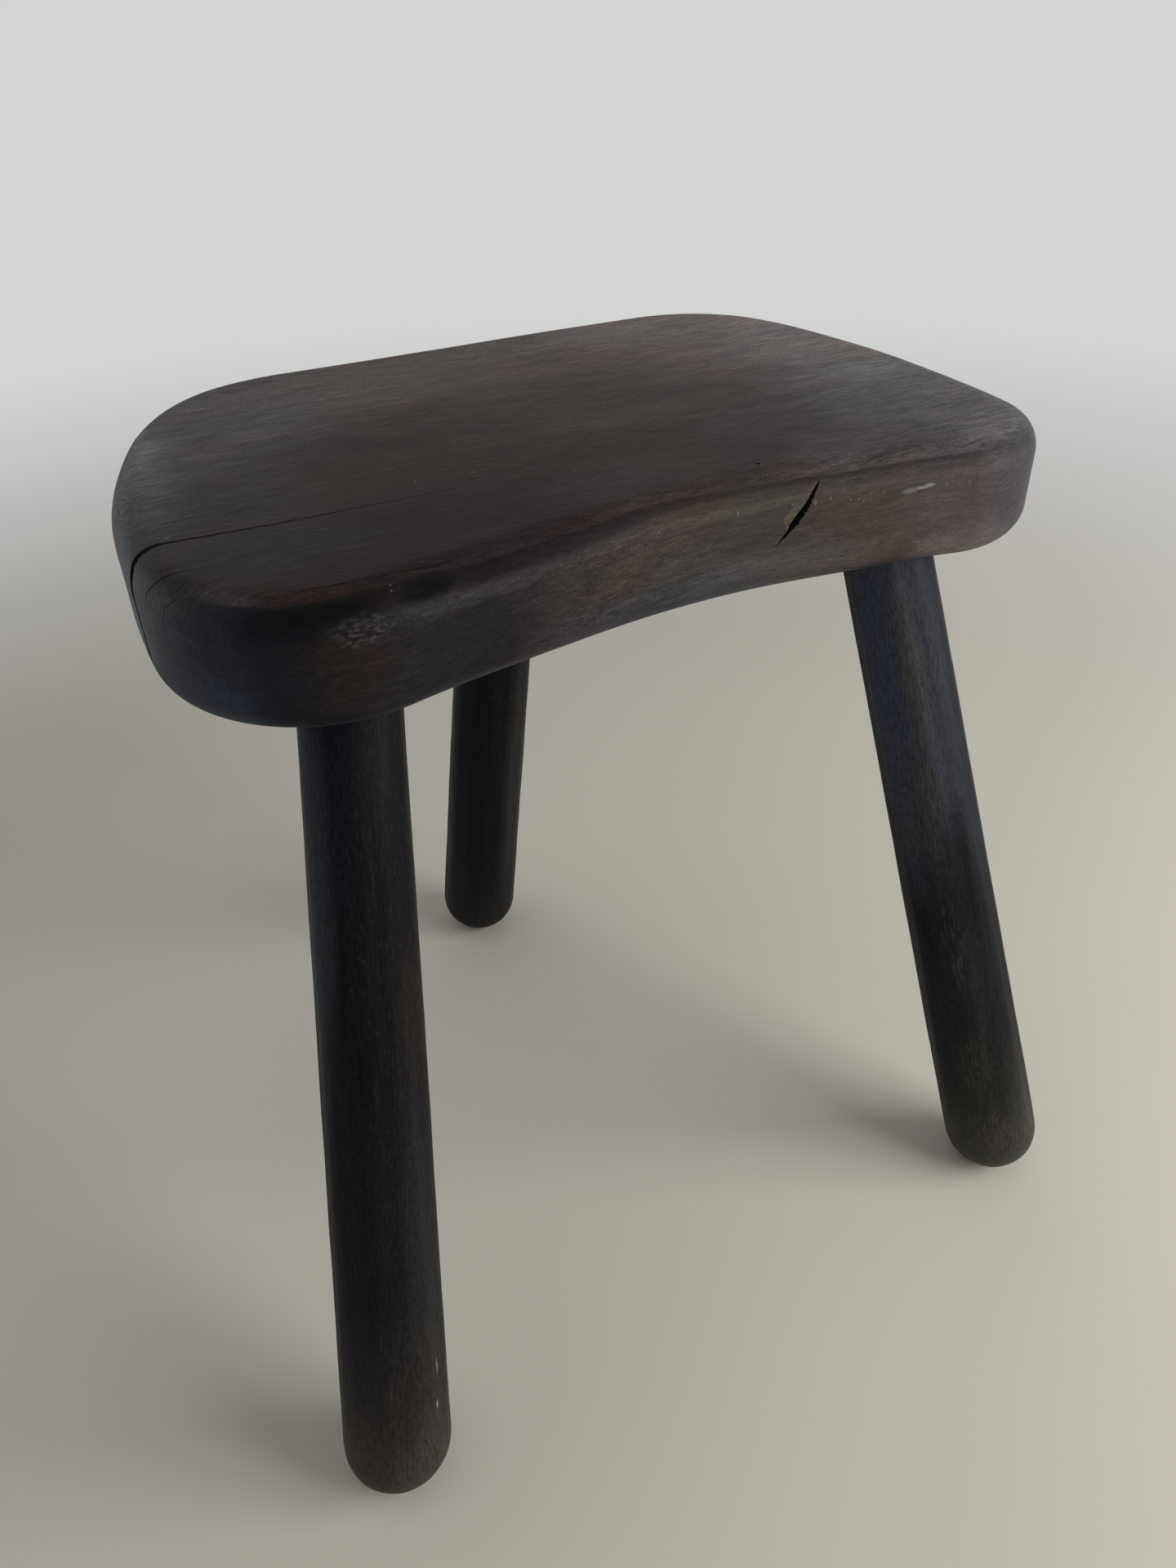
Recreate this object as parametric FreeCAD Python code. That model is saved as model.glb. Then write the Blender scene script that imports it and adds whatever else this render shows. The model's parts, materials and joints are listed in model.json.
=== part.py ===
"""Tripod stool: a hand-cut slab seat on three round, raked legs, in millimetres.

The legs are driven into blind sockets under the seat, so nothing shows on top. Each leg's
hidden end is split and spread by a fox wedge that the socket's floor pushes home.

The part stands on the floor with +Z up. X runs along the seat's grain and +Y points to the
straight back edge. The origin lies on the floor, at the middle of the box round the part.
"""
import FreeCAD, Part
import math
import os

# Seat slab, measured in plan across its corners.
seat_height = 352.0
seat_thickness = 45.0
front_width = 329.0
rear_width = 306.5
seat_depth = 226.0
front_setback = 6.0
front_left_radius = 56.0
front_right_radius = 39.5
rear_left_radius = 76.0
rear_right_radius = 63.5
end_bow_radius = 347.0
front_hollow_radius = 435.0
edge_radius = 12.5

# Legs: thickest at the rounded foot, thinner where they enter the seat.
foot_radius = 21.3
foot_wear = 0.8
neck_radius = 16.9

# Where each leg's centre line meets the seat's underside.
front_left_end_inset = 53.0
front_left_front_inset = 24.5
front_right_end_inset = 63.5
front_right_front_inset = 26.5
rear_back_inset = 78.5
rear_side_shift = -9.5

# How far each leg leans as it rises, in degrees: splay is along X, rake along Y.
front_left_splay_angle = 9.1
front_left_rake_angle = 15.15
front_right_splay_angle = -9.95
front_right_rake_angle = 14.6
rear_splay_angle = 0.25
rear_rake_angle = -16.4

# Blind sockets and the wedges in them.
socket_cover = 14.0
socket_clearance = 0.1
socket_end_gap = 0.4
wedge_length = 20.0
wedge_head = 4.5
wedge_tip = 1.2
wedge_clearance = 0.1

# Drying check in the left end, and the gash in the front face.
check_front_inset = 62.0
check_length = 112.0
check_depth = 31.0
check_width = 0.9
gash_end_inset = 115.0
gash_top_drop = 15.0
gash_length = 28.0
gash_width = 4.2
gash_depth = 6.5
gash_angle = 49.0

# Space by which a cutting solid stands proud of the surface that it cuts.
cut_overrun = 2.0

underside = seat_height - seat_thickness
foot_centre_height = foot_radius - foot_wear


def vec(x, y, z=0.0):
    return FreeCAD.Vector(x, y, z)


def unit(vector):
    return vector * (1.0 / vector.Length)


class Circle:
    """A corner or side of the seat's outline, in plan."""

    def __init__(self, x, y, radius):
        self.centre = vec(x, y)
        self.radius = radius

    def toward(self, point):
        return self.centre + unit(point - self.centre) * self.radius


def joining_circle(first, second, radius, hollow):
    """The circle of the given radius that touches two corners, walking counterclockwise."""
    sign = 1.0 if hollow else -1.0
    reach_first = radius + sign * first.radius
    reach_second = radius + sign * second.radius
    step = second.centre - first.centre
    along = unit(step)
    outward = vec(along.y, -along.x)
    distance = (reach_first ** 2 - reach_second ** 2 + step.Length ** 2) / (2.0 * step.Length)
    height = math.sqrt(reach_first ** 2 - distance ** 2)
    centre = first.centre + along * distance + outward * (sign * height)
    return Circle(centre.x, centre.y, radius)


def touch_point(corner, side, hollow):
    """Where a corner meets the side that joins it."""
    if hollow:
        return corner.toward(side.centre)
    return side.toward(corner.centre)


def seat_corners():
    """Corner circles, with x = 0 midway along the front and y = 0 at the foremost point."""
    half_front = front_width / 2.0
    half_rear = rear_width / 2.0
    front_left = Circle(-half_front + front_left_radius, front_left_radius, front_left_radius)
    front_right = Circle(half_front - front_right_radius, front_setback + front_right_radius,
                         front_right_radius)
    rear_right = Circle(half_rear - rear_right_radius, seat_depth - rear_right_radius,
                        rear_right_radius)
    rear_left = Circle(-half_rear + rear_left_radius, seat_depth - rear_left_radius,
                       rear_left_radius)
    return front_left, front_right, rear_right, rear_left


def front_hollow():
    front_left, front_right, rear_right, rear_left = seat_corners()
    return joining_circle(front_left, front_right, front_hollow_radius, True)


def arc_through(circle, start, end, middle_direction):
    middle = circle.centre + unit(middle_direction) * circle.radius
    return Part.Arc(start, middle, end).toShape()


def seat_outline():
    """Closed outline: four round corners, a hollow front, bowed ends and a straight back."""
    front_left, front_right, rear_right, rear_left = seat_corners()
    hollow = front_hollow()
    right_bow = joining_circle(front_right, rear_right, end_bow_radius, False)
    left_bow = joining_circle(rear_left, front_left, end_bow_radius, False)

    left_front = touch_point(front_left, left_bow, False)
    front_start = touch_point(front_left, hollow, True)
    front_end = touch_point(front_right, hollow, True)
    right_front = touch_point(front_right, right_bow, False)
    right_rear = touch_point(rear_right, right_bow, False)
    back_right = rear_right.centre + vec(0, rear_right.radius)
    back_left = rear_left.centre + vec(0, rear_left.radius)
    left_rear = touch_point(rear_left, left_bow, False)

    corner_edges = []
    for corner, start, end in ((front_left, left_front, front_start),
                               (front_right, front_end, right_front),
                               (rear_right, right_rear, back_right),
                               (rear_left, back_left, left_rear)):
        outward = unit(start - corner.centre) + unit(end - corner.centre)
        corner_edges.append(arc_through(corner, start, end, outward))

    side_edges = []
    for side, start, end in ((hollow, front_start, front_end),
                             (right_bow, right_front, right_rear),
                             (left_bow, left_rear, left_front)):
        outward = unit(start - side.centre) + unit(end - side.centre)
        side_edges.append(arc_through(side, start, end, outward))
    back_edge = Part.LineSegment(back_right, back_left).toShape()

    front_side, right_side, left_side = side_edges
    corner_fl, corner_fr, corner_rr, corner_rl = corner_edges
    return Part.Wire([corner_fl, front_side, corner_fr, right_side, corner_rr, back_edge,
                      corner_rl, left_side])


class Leg:
    """The centre line of one leg, from its foot to its end inside the seat."""

    def __init__(self, name, entry_x, entry_y, splay, rake):
        self.name = name
        self.entry = vec(entry_x, entry_y, underside)
        self.lean = vec(math.tan(math.radians(splay)), math.tan(math.radians(rake)), 1.0)
        self.axis = unit(self.lean)
        self.foot = self.entry - self.lean * (underside - foot_centre_height)
        end_height = seat_height - socket_cover
        self.socket_end = self.entry + self.lean * (end_height - underside)
        self.top = self.socket_end - self.axis * socket_end_gap
        neck_distance = (self.entry - self.foot).Length
        self.half_angle = math.asin((foot_radius - neck_radius) / neck_distance)

    def radius_at(self, point):
        distance = (point - self.foot).Length
        return (foot_radius - distance * math.sin(self.half_angle)) / math.cos(self.half_angle)


def stool_legs():
    front_left = Leg("front_left", front_left_end_inset - front_width / 2.0,
                     front_left_front_inset, front_left_splay_angle, front_left_rake_angle)
    front_right = Leg("front_right", front_width / 2.0 - front_right_end_inset,
                      front_setback + front_right_front_inset, front_right_splay_angle,
                      front_right_rake_angle)
    rear = Leg("rear", rear_side_shift, seat_depth - rear_back_inset, rear_splay_angle,
               rear_rake_angle)
    return front_left, front_right, rear


def cone_along(leg, start, end, clearance):
    """The leg's own taper between two points of its centre line, grown by a clearance."""
    return Part.makeCone(leg.radius_at(start) + clearance, leg.radius_at(end) + clearance,
                         (end - start).Length, start, leg.axis)


def leg_blank(leg):
    """Round foot running without a step into the tapered shaft, worn flat on the floor."""
    side = unit(leg.axis.cross(vec(0, 1, 0)))
    pole = leg.foot - leg.axis * foot_radius
    ball_middle = leg.foot + unit(side - leg.axis) * foot_radius
    shaft_side = side * math.cos(leg.half_angle) + leg.axis * math.sin(leg.half_angle)
    shaft_start = leg.foot + shaft_side * foot_radius
    shaft_end = leg.top + side * leg.radius_at(leg.top)
    half_section = Part.Wire([Part.Arc(pole, ball_middle, shaft_start).toShape(),
                              Part.LineSegment(shaft_start, shaft_end).toShape(),
                              Part.LineSegment(shaft_end, leg.top).toShape(),
                              Part.LineSegment(leg.top, pole).toShape()])
    turned = Part.Face(half_section).revolve(leg.foot, leg.axis, 360.0)
    block_size = 4.0 * foot_radius
    block_corner = leg.foot - vec(block_size / 2.0, block_size / 2.0, leg.foot.z + block_size)
    below_floor = Part.makeBox(block_size, block_size, block_size, block_corner)
    return turned.cut(below_floor)


def wedge_prism(leg, clearance):
    """A wedge across the leg's end, set across the seat's grain so that it cannot split it."""
    grain = vec(1, 0, 0)
    spread = unit(grain - leg.axis * grain.dot(leg.axis))
    across = leg.axis.cross(spread)
    half_span = across * (leg.radius_at(leg.top) + cut_overrun)
    head = leg.top + leg.axis * (cut_overrun if clearance else 0.0)
    tip = leg.top - leg.axis * (wedge_length + clearance)
    half_head = spread * (wedge_head / 2.0 + clearance)
    half_tip = spread * (wedge_tip / 2.0 + clearance)
    corners = [head - half_head, head + half_head, tip + half_tip, tip - half_tip]
    near_side = [corner - half_span for corner in corners]
    face = Part.Face(Part.makePolygon(near_side + near_side[:1]))
    return face.extrude(half_span * 2.0)


def make_leg(leg):
    return leg_blank(leg).cut(wedge_prism(leg, wedge_clearance))


def make_wedge(leg):
    return leg_blank(leg).common(wedge_prism(leg, 0.0))


def make_socket(leg):
    """The tapered hole for a leg, from below the seat to its floor inside the slab."""
    mouth = leg.entry - leg.axis * (2.0 * neck_radius)
    return cone_along(leg, mouth, leg.socket_end, socket_clearance)


def make_check():
    """A thin blade of split grain, deepest at the seat's left end."""
    left_end = -front_width / 2.0
    outside = left_end - end_bow_radius + math.sqrt(end_bow_radius ** 2 - seat_depth ** 2 / 4.0)
    top = seat_height + cut_overrun
    side = check_front_inset - check_width / 2.0
    profile = [vec(outside, side, top), vec(left_end + check_length, side, top),
               vec(left_end, side, seat_height - check_depth),
               vec(outside, side, seat_height - check_depth)]
    face = Part.Face(Part.makePolygon(profile + profile[:1]))
    return face.extrude(vec(0, check_width, 0))


def make_gash():
    """A slanting cut in the front face that narrows to a point at both ends and inward."""
    hollow = front_hollow()
    gash_x = front_width / 2.0 - gash_end_inset
    reach = math.sqrt(hollow.radius ** 2 - (gash_x - hollow.centre.x) ** 2)
    face_point = vec(gash_x, hollow.centre.y + reach, seat_height - gash_top_drop)
    inward = unit(vec(face_point.x - hollow.centre.x, face_point.y - hollow.centre.y))
    level = vec(inward.y, -inward.x)
    slope = math.radians(gash_angle)
    along = level * math.cos(slope) + vec(0, 0, math.sin(slope))
    aside = along.cross(inward)
    growth = (gash_depth + cut_overrun) / gash_depth
    mouth = face_point - inward * cut_overrun
    half_along = along * (gash_length / 2.0 * growth)
    half_aside = aside * (gash_width / 2.0 * growth)
    corners = [mouth - half_along, mouth - half_aside, mouth + half_along, mouth + half_aside]
    base = Part.makePolygon(corners + corners[:1])
    deepest = Part.Vertex(face_point + inward * gash_depth)
    return Part.makeLoft([base, deepest], True, True)


def make_seat(legs):
    """Slab with both rims rounded, less the sockets, the check and the gash."""
    slab = Part.Face(seat_outline()).extrude(vec(0, 0, seat_thickness))
    slab.translate(vec(0, 0, underside))
    level_edges = [edge for edge in slab.Edges if edge.Vertexes[0].Z == edge.Vertexes[-1].Z]
    largest_round = 0.49 * seat_thickness
    seat = slab.makeFillet(min(edge_radius, largest_round), level_edges)
    for leg in legs:
        seat = seat.cut(make_socket(leg))
    return seat.cut(make_check()).cut(make_gash())


def close_box(shape):
    return shape.optimalBoundingBox(False, False)


def floor_origin(pieces):
    """The middle of the box round all the pieces, on the floor."""
    box = FreeCAD.BoundBox()
    for shape in pieces.values():
        box.add(close_box(shape))
    return vec(box.Center.x, box.Center.y)


def main():
    legs = stool_legs()
    pieces = {"seat_slab": make_seat(legs)}
    for leg in legs:
        pieces["leg_" + leg.name] = make_leg(leg)
        pieces["fox_wedge_" + leg.name] = make_wedge(leg)
    origin = floor_origin(pieces)
    os.makedirs("parts", exist_ok=True)
    for name, shape in pieces.items():
        shape.translate(vec(0, 0, 0) - origin)
        shape.exportStep(os.path.join("parts", name + ".step"))
        box = close_box(shape)
        print(name, "solids", len(shape.Solids), "valid", shape.isValid(),
              "volume %.0f" % shape.Volume,
              "x %.1f..%.1f y %.1f..%.1f z %.1f..%.1f" % (
                  box.XMin, box.XMax, box.YMin, box.YMax, box.ZMin, box.ZMax))


main()
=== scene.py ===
import json
import math
import random

import bpy
import numpy as np
from mathutils import Matrix, Vector, geometry, noise


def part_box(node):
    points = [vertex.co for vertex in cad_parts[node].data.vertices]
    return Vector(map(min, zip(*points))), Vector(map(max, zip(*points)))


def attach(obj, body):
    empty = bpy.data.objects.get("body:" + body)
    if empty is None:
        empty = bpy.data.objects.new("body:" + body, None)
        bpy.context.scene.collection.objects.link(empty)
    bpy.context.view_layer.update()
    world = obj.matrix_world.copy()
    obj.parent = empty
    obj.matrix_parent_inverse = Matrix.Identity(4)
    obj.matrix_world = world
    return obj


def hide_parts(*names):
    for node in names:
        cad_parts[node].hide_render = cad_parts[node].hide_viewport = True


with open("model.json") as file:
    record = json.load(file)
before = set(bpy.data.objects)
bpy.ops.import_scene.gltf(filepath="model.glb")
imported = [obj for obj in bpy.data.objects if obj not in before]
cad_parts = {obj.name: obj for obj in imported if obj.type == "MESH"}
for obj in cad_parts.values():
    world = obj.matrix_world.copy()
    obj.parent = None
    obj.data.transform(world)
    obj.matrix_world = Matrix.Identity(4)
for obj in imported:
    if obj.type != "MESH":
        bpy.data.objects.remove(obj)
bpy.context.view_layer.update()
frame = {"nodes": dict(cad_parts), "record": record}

# Seat slab
# One thick board of hardwood, sawn to a D with a hollowed front, its two rims rounded over by hand,
# then stained nearly black and waxed. Drying has split its left end, and the front face has a gash.
seat_low, seat_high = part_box("seat_slab")
seat_top = seat_high.z
seat_underside = seat_low.z
front_width = 0.329
rear_width = 0.3065
seat_depth = seat_high.y - seat_low.y
front_setback = 0.006
front_left_radius = 0.056
front_right_radius = 0.0395
rear_left_radius = 0.076
rear_right_radius = 0.0635
end_bow_radius = 0.347
front_hollow_radius = 0.435
rim_radius = 0.0125
rim_turns = 12
wall_steps = 9
arc_steps = 400
outline_step = 0.0018
board_step = 0.0042
row_share = 0.866
broad_wave = 0.00024
close_wave = 0.00008
seat_crease = math.radians(38.0)

# Where the saw wandered off the true curve: x, y, reach along the edge, and distance outward.
saw_wander = (
    (-0.146, 0.098, 0.018, -0.0010),
    (-0.112, 0.130, 0.020, 0.0008),
    (-0.162, 0.030, 0.030, 0.0008),
    (-0.050, -0.076, 0.030, 0.0009),
    (0.022, -0.066, 0.030, -0.0007),
    (0.080, -0.076, 0.022, 0.0009),
    (0.165, -0.050, 0.022, 0.0006),
    (0.065, 0.136, 0.035, 0.0006),
)


def joining_circle(first, second, radius, hollow):
    """Centre of the circle of one radius that touches two corner circles, walking counterclockwise."""
    sign = 1.0 if hollow else -1.0
    reach_first = radius + sign * first[1]
    reach_second = radius + sign * second[1]
    step = second[0] - first[0]
    span = step.length
    along = step / span
    outward = Vector((along.y, -along.x))
    distance = (reach_first ** 2 - reach_second ** 2 + span ** 2) / (2.0 * span)
    height = math.sqrt(reach_first ** 2 - distance ** 2)
    return first[0] + along * distance + outward * (sign * height)


def heading(start, end):
    return math.atan2(end.y - start.y, end.x - start.x)


def seat_outline():
    """Evenly spaced points round the seat's edge with their outward directions, counterclockwise."""
    half_front = front_width / 2.0
    half_rear = rear_width / 2.0
    front_left = (Vector((front_left_radius - half_front, front_left_radius)), front_left_radius)
    front_right = (Vector((half_front - front_right_radius, front_setback + front_right_radius)),
                   front_right_radius)
    rear_right = (Vector((half_rear - rear_right_radius, seat_depth - rear_right_radius)),
                  rear_right_radius)
    rear_left = (Vector((rear_left_radius - half_rear, seat_depth - rear_left_radius)),
                 rear_left_radius)
    hollow = joining_circle(front_left, front_right, front_hollow_radius, True)
    right_bow = joining_circle(front_right, rear_right, end_bow_radius, False)
    left_bow = joining_circle(rear_left, front_left, end_bow_radius, False)
    left_turn = heading(left_bow, front_left[0])
    front_turn = heading(front_left[0], hollow)
    right_start = heading(hollow, front_right[0])
    right_turn = heading(right_bow, front_right[0])
    rear_turn = heading(right_bow, rear_right[0])
    left_start = heading(left_bow, rear_left[0])
    arcs = (
        (front_left[0], front_left_radius, left_turn, front_turn, 1.0),
        (hollow, front_hollow_radius, heading(hollow, front_left[0]), right_start, -1.0),
        (front_right[0], front_right_radius, heading(front_right[0], hollow), right_turn, 1.0),
        (right_bow, end_bow_radius, right_turn, rear_turn, 1.0),
        (rear_right[0], rear_right_radius, rear_turn, math.pi / 2.0, 1.0),
        (rear_left[0], rear_left_radius, math.pi / 2.0, left_start, 1.0),
        (left_bow, end_bow_radius, left_start, left_turn, 1.0),
    )
    points = []
    outward = []
    for centre, radius, start, end, turn in arcs:
        sweep = (end - start) * turn % (2.0 * math.pi)
        for step in range(arc_steps):
            angle = start + turn * sweep * step / (arc_steps - 1.0)
            direction = np.array((math.cos(angle), math.sin(angle)))
            points.append(np.array(centre) + direction * radius)
            outward.append(direction * turn)
    points = np.array(points + points[:1])
    outward = np.array(outward + outward[:1])
    points += np.array((seat_low.x, seat_low.y)) - points.min(0)
    run = np.concatenate(([0.0], np.cumsum(np.linalg.norm(np.diff(points, axis=0), axis=1))))
    count = int(run[-1] / outline_step)
    places = np.arange(count) * run[-1] / count
    edge = np.stack([np.interp(places, run, points[:, axis]) for axis in (0, 1)], axis=1)
    facing = np.stack([np.interp(places, run, outward[:, axis]) for axis in (0, 1)], axis=1)
    facing /= np.linalg.norm(facing, axis=1, keepdims=True)
    shift = np.zeros(count)
    for x, y, reach, distance in saw_wander:
        gap = np.linalg.norm(edge - np.array((x, y)), axis=1)
        shift += distance * np.exp(-(gap / reach) ** 2)
    return edge + facing * shift[:, None], facing


edge_points, edge_facing = seat_outline()


def on_skin(point):
    """The nearest place on the seat's upper skin to a point near it, and the way the skin faces there."""
    flat = np.array((point.x, point.y))
    nearest = int(np.argmin(np.linalg.norm(edge_points - flat, axis=1)))
    facing = Vector((*edge_facing[nearest], 0.0))
    along = Vector((-facing.y, facing.x, 0.0))
    edge = Vector((*edge_points[nearest], seat_top))
    edge += along * (Vector((point.x, point.y, seat_top)) - edge).dot(along)
    heart = edge - facing * rim_radius - Vector((0, 0, rim_radius))
    out = (point - heart).dot(facing)
    up = point.z - heart.z
    if out <= 0.0:
        return Vector((point.x, point.y, seat_top)), Vector((0, 0, 1))
    if up <= 0.0:
        return heart + facing * rim_radius + Vector((0, 0, up)), facing
    direction = (facing * out + Vector((0, 0, up))).normalized()
    return heart + direction * rim_radius, direction


def hand_worked(point, facing):
    """Shallow waves that a drawknife and scraper leave in the surface."""
    broad = noise.noise(Vector((point.x * 14.0, point.y * 26.0, point.z * 26.0)))
    close = noise.noise(Vector((point.x * 45.0 + 7.0, point.y * 80.0, point.z * 80.0)))
    return point + facing * min(0.0, broad_wave * (broad - 0.5) + close_wave * (close - 0.5))


def seat_blank():
    """The shaped board before anything is cut into it: rims in rings, flats filled from a lattice."""
    rim_rings = []
    for step in range(rim_turns + 1):
        angle = 0.5 * math.pi * step / rim_turns
        inset = rim_radius * (1.0 - math.sin(angle))
        drop = rim_radius * (1.0 - math.cos(angle))
        rim_rings.append((inset, drop, math.sin(angle), math.cos(angle)))
    rings = [(inset, seat_top - drop, level, upright) for inset, drop, level, upright in rim_rings]
    wall_height = seat_top - seat_underside - 2.0 * rim_radius
    for step in range(1, wall_steps):
        rings.append((0.0, seat_top - rim_radius - wall_height * step / wall_steps, 1.0, 0.0))
    for inset, drop, level, upright in reversed(rim_rings):
        rings.append((inset, seat_underside + drop, level, -upright))
    count = len(edge_points)
    verts = []
    for inset, height, level, upright in rings:
        for edge, facing in zip(edge_points, edge_facing):
            place = Vector((*(edge - facing * inset), height))
            verts.append(hand_worked(place, Vector((facing[0] * level, facing[1] * level, upright))))
    faces = []
    for upper in range(0, count * (len(rings) - 1), count):
        lower = upper + count
        for step in range(count):
            following = (step + 1) % count
            faces.append((upper + step, lower + step, lower + following, upper + following))

    rim = edge_points - edge_facing * rim_radius
    lattice = []
    rows = int((seat_high.y - seat_low.y) / (board_step * row_share)) + 1
    columns = int((seat_high.x - seat_low.x) / board_step) + 1
    for row in range(rows):
        for column in range(columns):
            spot = np.array((seat_low.x + (column + 0.5 * (row % 2)) * board_step,
                             seat_low.y + row * board_step * row_share))
            nearest = int(np.argmin(np.linalg.norm(rim - spot, axis=1)))
            inside = float(np.dot(rim[nearest] - spot, edge_facing[nearest]))
            if inside > 0.6 * board_step:
                lattice.append(Vector(spot))
    loop = [Vector(place) for place in rim]
    loop_edges = [(step, (step + 1) % count) for step in range(count)]
    spots, _, triangles, sources, _, _ = geometry.delaunay_2d_cdt(loop + lattice, loop_edges, [], 1, 1e-7)
    for height, upright, ring in ((seat_top, 1.0, 0), (seat_underside, -1.0, len(rings) - 1)):
        index = {}
        for spot, source in enumerate(sources):
            if source[0] < count:
                index[spot] = ring * count + source[0]
            else:
                index[spot] = len(verts)
                place = Vector((spots[spot].x, spots[spot].y, height))
                verts.append(hand_worked(place, Vector((0, 0, upright))))
        for triangle in triangles:
            corners = [index[spot] for spot in triangle]
            faces.append(corners if upright > 0.0 else corners[::-1])
    return verts, faces


def new_piece(name, verts, faces, *finishes):
    mesh = bpy.data.meshes.new(name)
    mesh.from_pydata([tuple(vert) for vert in verts], [], faces)
    for finish in finishes:
        mesh.materials.append(finish)
    mesh.update()
    piece = bpy.data.objects.new(name, mesh)
    bpy.context.scene.collection.objects.link(piece)
    return piece


class Flow:
    """An output of a node. Arithmetic on it adds math nodes to the same tree."""

    def __init__(self, socket):
        self.socket = socket
        self.tree = socket.id_data
        self.is_number = socket.type == "VALUE"

    def __add__(self, other):
        return calc("ADD", self, other)

    def __sub__(self, other):
        return calc("SUBTRACT", self, other)

    def __rsub__(self, other):
        return calc("SUBTRACT", other, self)

    def __mul__(self, other):
        if not self.is_number and isinstance(other, Flow) and other.is_number:
            return put(self.tree, "ShaderNodeVectorMath", {0: self, "Scale": other}, operation="SCALE")
        return calc("MULTIPLY", self, other)

    def __truediv__(self, other):
        return calc("DIVIDE", self, other)


def fill(socket, value):
    """Links a flow to a socket, or sets the socket to a plain value; a colour is opaque."""
    if isinstance(value, Flow):
        value.tree.links.new(value.socket, socket)
    elif socket.type == "RGBA":
        socket.default_value = (*value, 1.0)
    else:
        socket.default_value = value


def put(tree, kind, inputs, output=0, **settings):
    """Adds a node with its settings, fills its inputs and gives one of its outputs."""
    step = tree.nodes.new(kind)
    for name, value in settings.items():
        setattr(step, name, value)
    for name, value in inputs.items():
        fill(step.inputs[name], value)
    return Flow(step.outputs[output])


def leading(*values):
    """The first of the values that flows from a node."""
    return next(value for value in values if isinstance(value, Flow))


def calc(operation, *values):
    """A math node, for vectors where the first flow is one."""
    lead = leading(*values)
    kind = "ShaderNodeMath" if lead.is_number else "ShaderNodeVectorMath"
    output = "Value" if operation in ("LENGTH", "DOT_PRODUCT") else 0
    return put(lead.tree, kind, dict(enumerate(values)), output, operation=operation)


def flows(node):
    return {socket.name: Flow(socket) for socket in node.outputs}


def parts(vector):
    step = vector.tree.nodes.new("ShaderNodeSeparateXYZ")
    fill(step.inputs[0], vector)
    return [Flow(socket) for socket in step.outputs]


def ease(value, low, high):
    """A smooth step from 0 at low to 1 at high."""
    return put(value.tree, "ShaderNodeMapRange", {"Value": value, "From Min": low, "From Max": high},
               "Result", interpolation_type="SMOOTHSTEP")


def tint(amount, first, second, mode="MIX"):
    tree = leading(amount, first, second).tree
    return put(tree, "ShaderNodeMix", {0: amount, 6: first, 7: second}, 2,
               data_type="RGBA", blend_type=mode)


def shaded(colour, amount):
    """A colour made lighter or darker by a number."""
    grey = put(amount.tree, "ShaderNodeCombineColor", {0: amount, 1: amount, 2: amount})
    return tint(1.0, colour, grey, "MULTIPLY")


def cloud(place, scale, detail, rough, output="Fac"):
    return put(place.tree, "ShaderNodeTexNoise",
               {"Vector": place, "Scale": scale, "Detail": detail, "Roughness": rough}, output)


def open_group(name, inputs, outputs):
    """A shader node group with its named sockets, ready to be filled."""
    group = bpy.data.node_groups.new(name, "ShaderNodeTree")
    for label, value in inputs.items():
        kind = "NodeSocketVector" if isinstance(value, tuple) else "NodeSocketFloat"
        group.interface.new_socket(label, in_out="INPUT", socket_type=kind).default_value = value
    for label in outputs:
        group.interface.new_socket(label, in_out="OUTPUT", socket_type="NodeSocketFloat")
    given = flows(group.nodes.new("NodeGroupInput"))
    return group, given, group.nodes.new("NodeGroupOutput").inputs


def fibre_group():
    """Grain that runs along X: fine streaks, open pores and growth rings round the heart of the tree."""
    group, given, result = open_group(
        "wood_fibre",
        {"Place": (0.0, 0.0, 0.0), "Fibre Length": 0.06, "Fibre Width": 0.0022, "Ring Width": 0.006,
         "Heart": (0.0, 0.0, 0.0)},
        ("Streak", "Pore", "Ring", "Relief"))
    drift = cloud(given["Place"] * (5.0, 14.0, 14.0), 1.0, 2.0, 0.5, "Color")
    bent = given["Place"] + (drift - (0.5, 0.5, 0.5)) * (0.0, 0.012, 0.012)
    per_length = calc("DIVIDE", 1.0, given["Fibre Length"])
    per_width = calc("DIVIDE", 1.0, given["Fibre Width"])
    fibre = bent * put(group, "ShaderNodeCombineXYZ", {0: per_length, 1: per_width, 2: per_width})
    streak = cloud(fibre, 1.0, 5.0, 0.62)
    pore = ease(cloud(fibre * (4.0, 2.8, 2.8), 1.0, 2.0, 0.5), 0.62, 0.74)
    from_heart = (bent - given["Heart"]) * (0.0, 1.0, 1.0)
    age = calc("LENGTH", from_heart) / given["Ring Width"]
    season = calc("FRACT", age + streak * 0.5)
    ring = ease(season, 0.0, 0.75) * ease(season, 1.0, 0.85)
    relief = streak - pore * 0.6
    for label, value in (("Streak", streak), ("Pore", pore), ("Ring", ring), ("Relief", relief)):
        fill(result[label], value)
    return group


def patch_group():
    """A ragged spot of given reach, 1 in its middle and 0 outside, for rubbed and scuffed places."""
    group, given, result = open_group(
        "rubbed_patch",
        {"Place": (0.0, 0.0, 0.0), "Centre": (0.0, 0.0, 0.0), "Reach": (0.01, 0.01, 0.01),
         "Speckle": 300.0, "Raggedness": 1.0},
        ("Mask",))
    distance = calc("LENGTH", (given["Place"] - given["Centre"]) / given["Reach"])
    grit = cloud(given["Place"] * (0.25, 1.0, 1.0), given["Speckle"], 4.0, 0.65) - 0.5
    fill(result["Mask"], ease(distance + grit * given["Raggedness"], 1.0, 0.35))
    return group


wood_fibre = fibre_group()
rubbed_patch = patch_group()


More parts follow.
